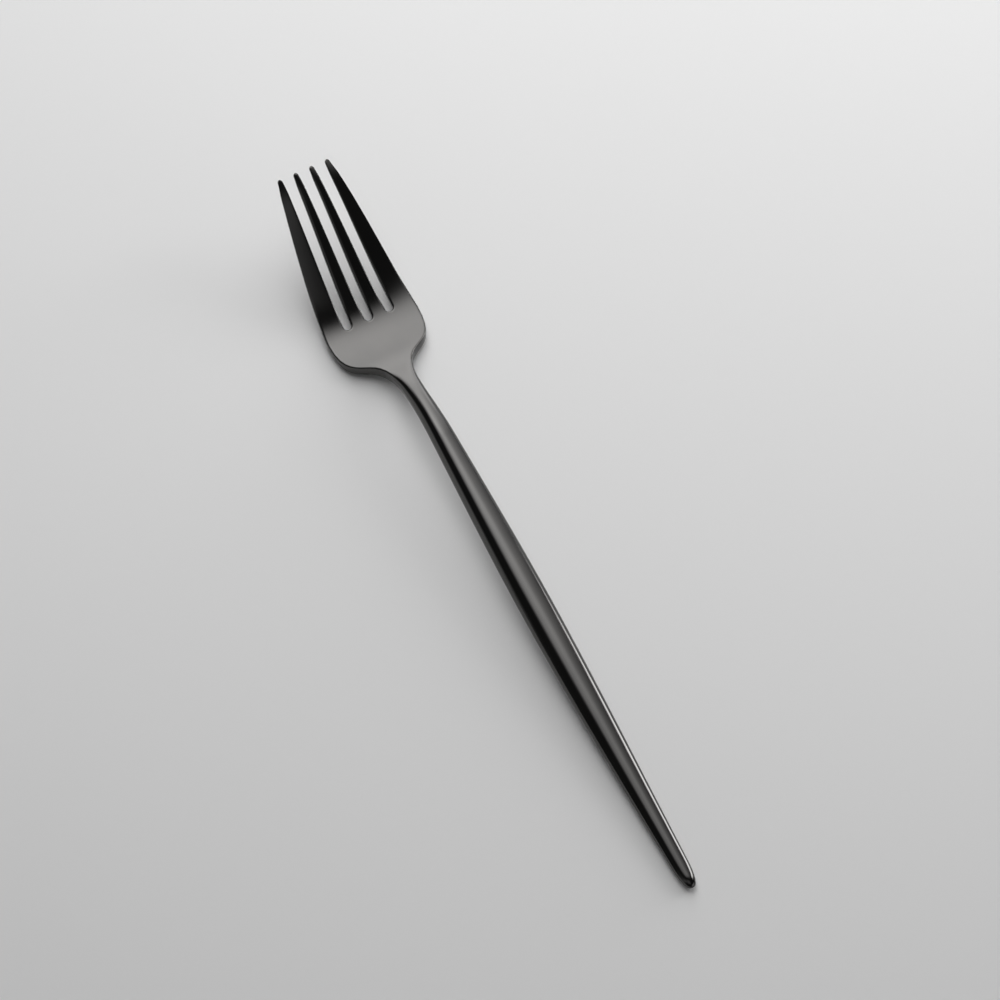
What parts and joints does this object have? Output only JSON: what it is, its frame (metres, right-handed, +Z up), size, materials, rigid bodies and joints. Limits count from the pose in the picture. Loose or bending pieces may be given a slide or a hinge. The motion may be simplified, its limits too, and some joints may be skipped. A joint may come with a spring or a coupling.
{
  "type": "salad fork",
  "caption": "Slim black-coated salad fork: pressed head with straight tapering tines, round neck and long tapered handle, for eating salad.",
  "frame": {"origin": "on the table, under the middle of the fork's box", "axes": "+Y along the fork from the end of the handle to the tips, +Z up with the tines curving up, +X across"},
  "size_m": [0.0226, 0.1854, 0.02],
  "materials": {
    "fork_head": "black satin coating over polished stainless steel",
    "handle": "black satin coating over polished stainless steel"
  },
  "bodies": {
    "root": {"fork_head": "fork_head", "handle": "handle"}
  },
  "joints": []
}
